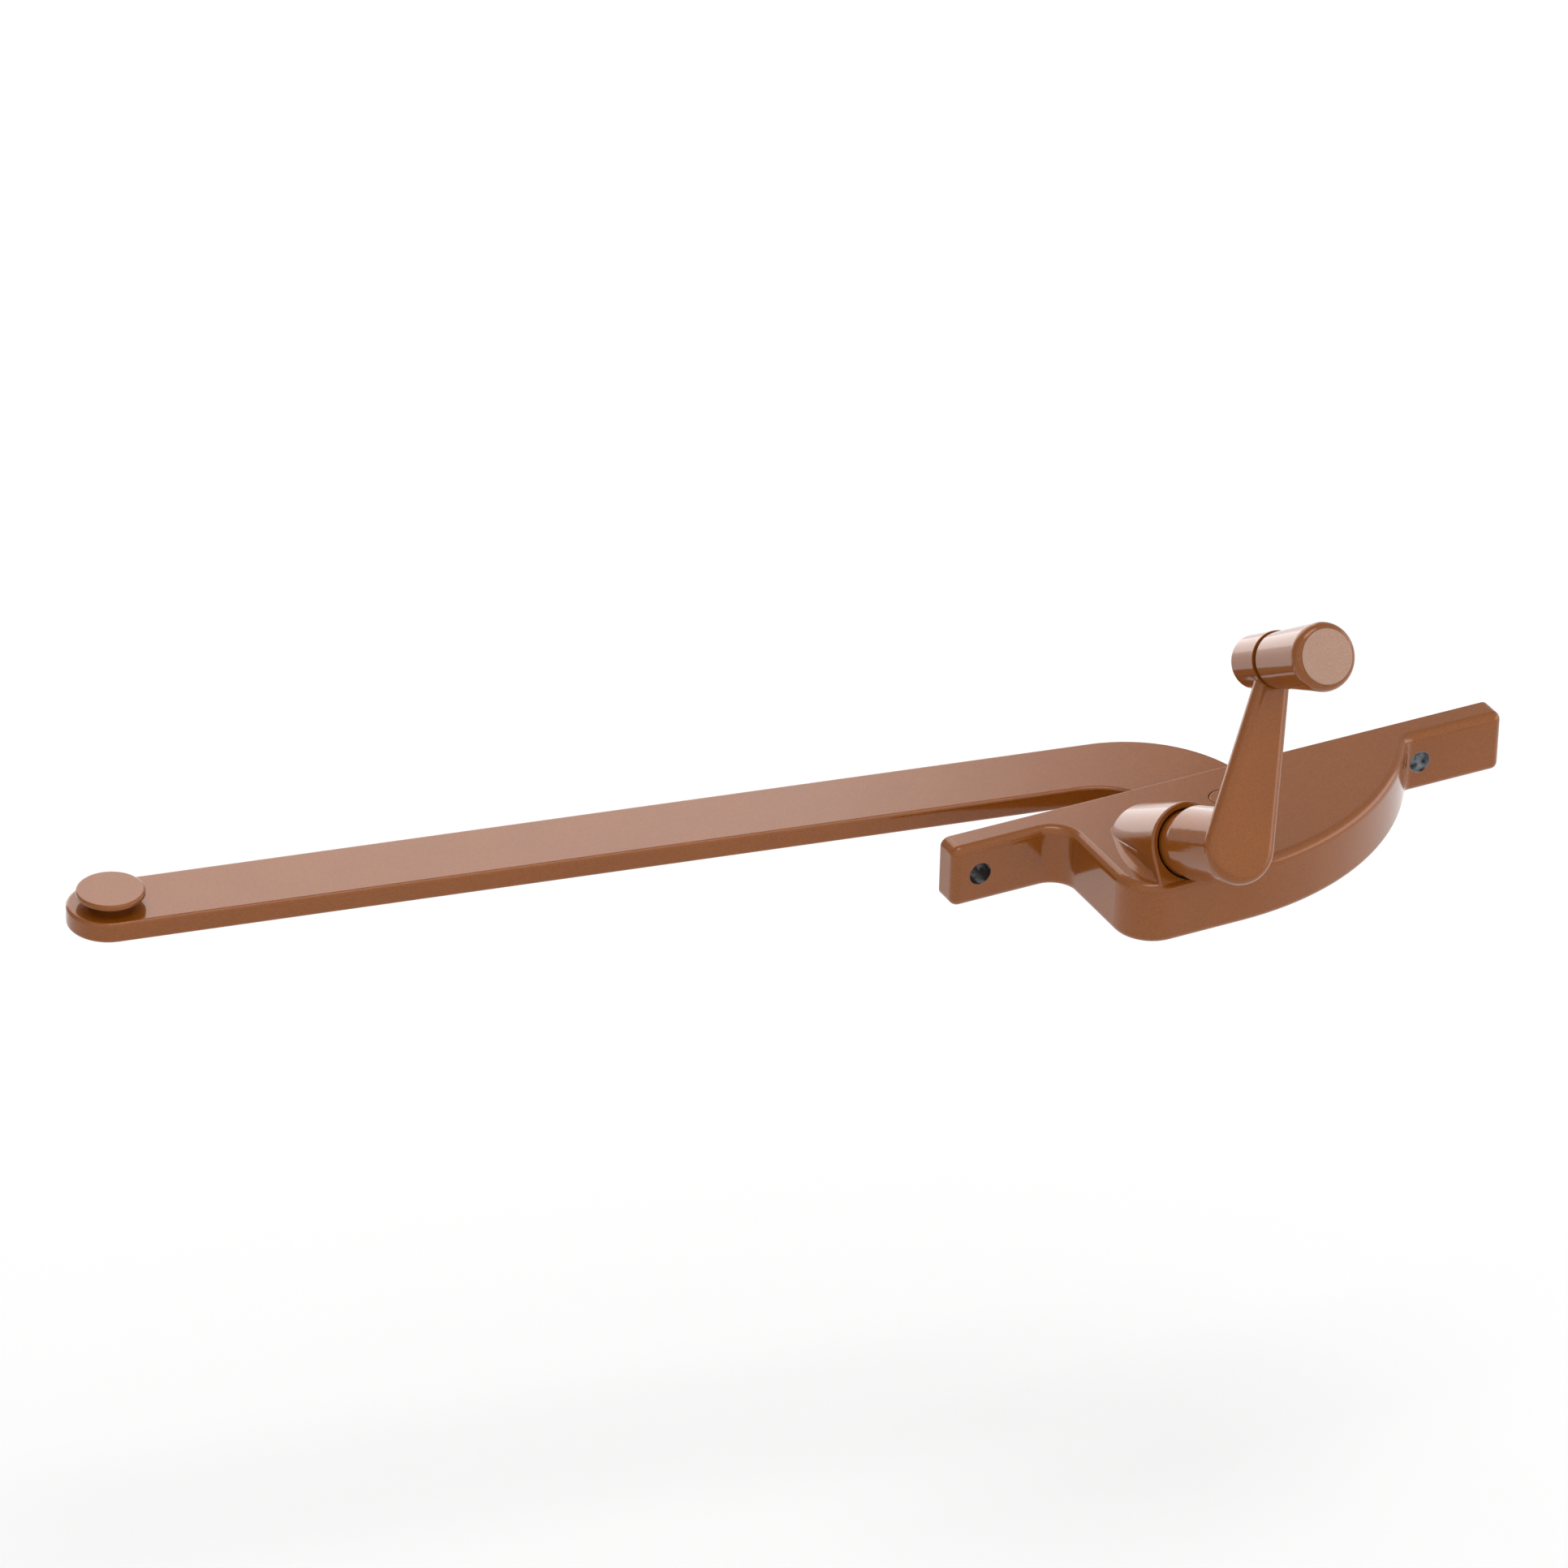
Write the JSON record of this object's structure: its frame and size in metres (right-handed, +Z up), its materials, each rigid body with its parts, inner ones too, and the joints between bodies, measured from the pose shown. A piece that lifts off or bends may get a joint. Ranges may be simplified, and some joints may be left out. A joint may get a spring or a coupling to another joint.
{
  "type": "window crank operator",
  "caption": "Surface-mounted crank operator for a casement window: a worm in a cast case swings a long gooseneck arm with a guide stud; tapered knob on a teardrop crank.",
  "frame": {"origin": "on the mounting plate's back plane, midway between the centres of the two mounting holes", "axes": "+X along the plate to the user's right, +Y out through the window frame, +Z up"},
  "size_m": [0.2974, 0.1174, 0.0739],
  "materials": {
    "case_enamel": "glossy copper-brown baked enamel with fine metallic fleck on die-cast zinc",
    "arm_enamel": "glossy copper-brown baked enamel with fine metallic fleck on stamped steel",
    "crank_enamel": "glossy copper-brown baked enamel with fine metallic fleck on die-cast zinc",
    "plated_steel": "zinc-plated steel, faintly brushed",
    "machined_steel": "turned steel with a film of oil",
    "sintered_bronze": "oil-filled sintered bronze",
    "dark_nylon": "dark moulded nylon"
  },
  "bodies": {
    "case": {"gear_case": "case_enamel", "bottom_cover": "plated_steel", "cover_screws": "plated_steel", "pivot_pin": "case_enamel", "upper_thrust_washer": "sintered_bronze", "lower_thrust_washer": "sintered_bronze", "pivot_spacer": "machined_steel", "spindle_front_bushing": "sintered_bronze", "spindle_rear_bushing": "sintered_bronze", "spindle_thrust_washer": "machined_steel"},
    "arm": {"operator_arm": "arm_enamel", "guide_stud": "arm_enamel", "pivot_bushing": "sintered_bronze"},
    "crank": {"crank_handle": "crank_enamel", "worm_spindle": "machined_steel", "spindle_retaining_ring": "plated_steel", "handle_set_screw": "plated_steel", "knob_pin": "machined_steel", "knob_washer": "dark_nylon"},
    "knob": {"crank_knob": "crank_enamel", "knob_cap": "crank_enamel"}
  },
  "joints": [
    {"name": "arm_swing", "type": "hinge", "parent": "case", "child": "arm", "pos_m": [0.002, -0.0105, 0.001], "axis": [0, 0, -1], "range_deg": [-10, 80]},
    {"name": "crank_turn", "type": "hinge", "parent": "case", "child": "crank", "pos_m": [-0.01818, -0.0215, 0.00675], "axis": [0, -0.8704, 0.4924], "range_deg": [-250, 2000]},
    {"name": "knob_spin", "type": "hinge", "parent": "crank", "child": "knob", "pos_m": [-0.00074, -0.03318, 0.0515], "axis": [0, -0.8704, 0.4924], "continuous": true}
  ],
  "couplings": [
    {"joint": "crank_turn", "follows": "arm_swing", "ratio": 25}
  ]
}
